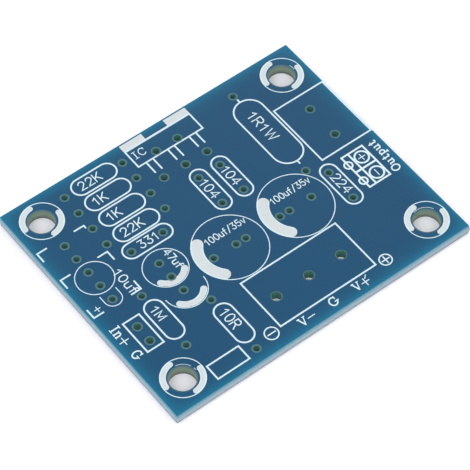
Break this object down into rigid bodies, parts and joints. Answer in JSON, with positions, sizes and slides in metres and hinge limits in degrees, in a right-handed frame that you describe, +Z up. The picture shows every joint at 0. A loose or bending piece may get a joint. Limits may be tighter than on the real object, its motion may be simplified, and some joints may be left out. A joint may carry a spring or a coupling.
{
  "type": "audio amplifier circuit board",
  "caption": "Bare rectangular circuit board of an audio amplifier: drilled laminate with mounting holes, copper foil, blue solder mask, tinned pads and a white printed legend.",
  "frame": {"origin": "middle of the underside of the board", "axes": "+X along the board's length, from the input header's side to the output terminal's, +Y along its width to the amplifier's edge, +Z up through the printed legend"},
  "size_m": [0.0456, 0.037, 0.0016],
  "materials": {
    "laminate": "cut glass-epoxy, pale and slightly translucent",
    "solder_mask": "satin blue solder mask",
    "legend_ink": "matt white screen print",
    "copper": "bare copper foil under the solder mask",
    "tin": "hot-levelled tin"
  },
  "bodies": {
    "root": {"laminate": "laminate", "solder_mask_top": "solder_mask", "solder_mask_bottom": "solder_mask", "pad_tinning": "tin", "legend_print": "legend_ink", "foil_input": "copper", "foil_coupling": "copper", "foil_amplifier_input": "copper", "foil_inverting_input": "copper", "foil_gain_set": "copper", "foil_signal_ground": "copper", "foil_power_ground": "copper", "foil_negative_supply": "copper", "foil_positive_supply": "copper", "foil_output": "copper", "foil_damper": "copper"}
  },
  "joints": []
}
